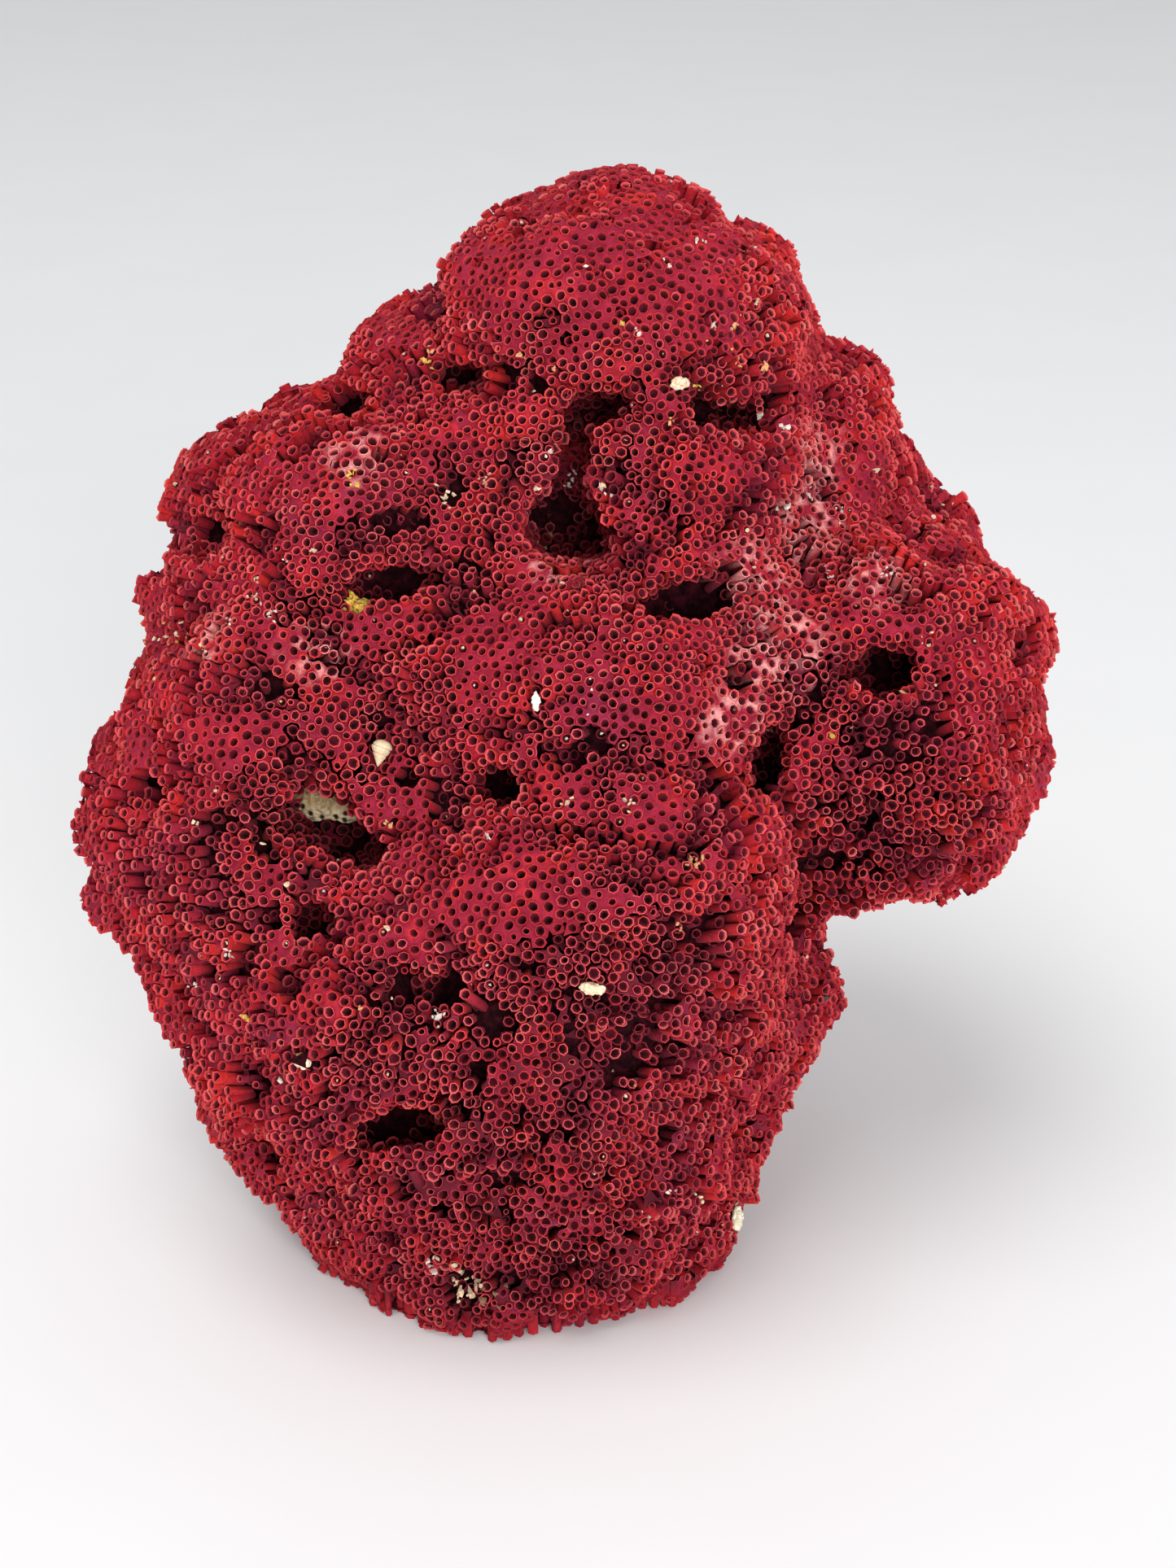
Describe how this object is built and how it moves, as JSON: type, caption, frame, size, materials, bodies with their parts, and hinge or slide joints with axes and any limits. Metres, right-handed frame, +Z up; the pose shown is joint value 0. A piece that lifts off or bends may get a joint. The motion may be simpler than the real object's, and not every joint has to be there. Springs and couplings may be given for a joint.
{
  "type": "red organ-pipe coral specimen",
  "caption": "Lobed lump of dead red organ-pipe coral, pitted with clefts and caves, cut flat below so that it stands on a shelf.",
  "frame": {"origin": "on the flat cut, under the middle of the bounding box", "axes": "+Z up from the cut, -Y towards the front that the picture shows, +X to its right"},
  "size_m": [0.1926, 0.1492, 0.2113],
  "materials": {
    "coral": "matte, chalky",
    "crust": "matte, grainy",
    "snail_shell": "satin",
    "yellow_crumb": "matte, crumbly",
    "shell_chip": "matte"
  },
  "bodies": {
    "root": {"coral_colony": "coral", "crust_lump": "crust", "snail_shell": "snail_shell", "yellow_crumb": "yellow_crumb", "shell_chip_1": "shell_chip", "shell_chip_2": "shell_chip", "shell_chip_3": "shell_chip", "shell_chip_4": "shell_chip", "shell_chip_5": "shell_chip"}
  },
  "joints": []
}
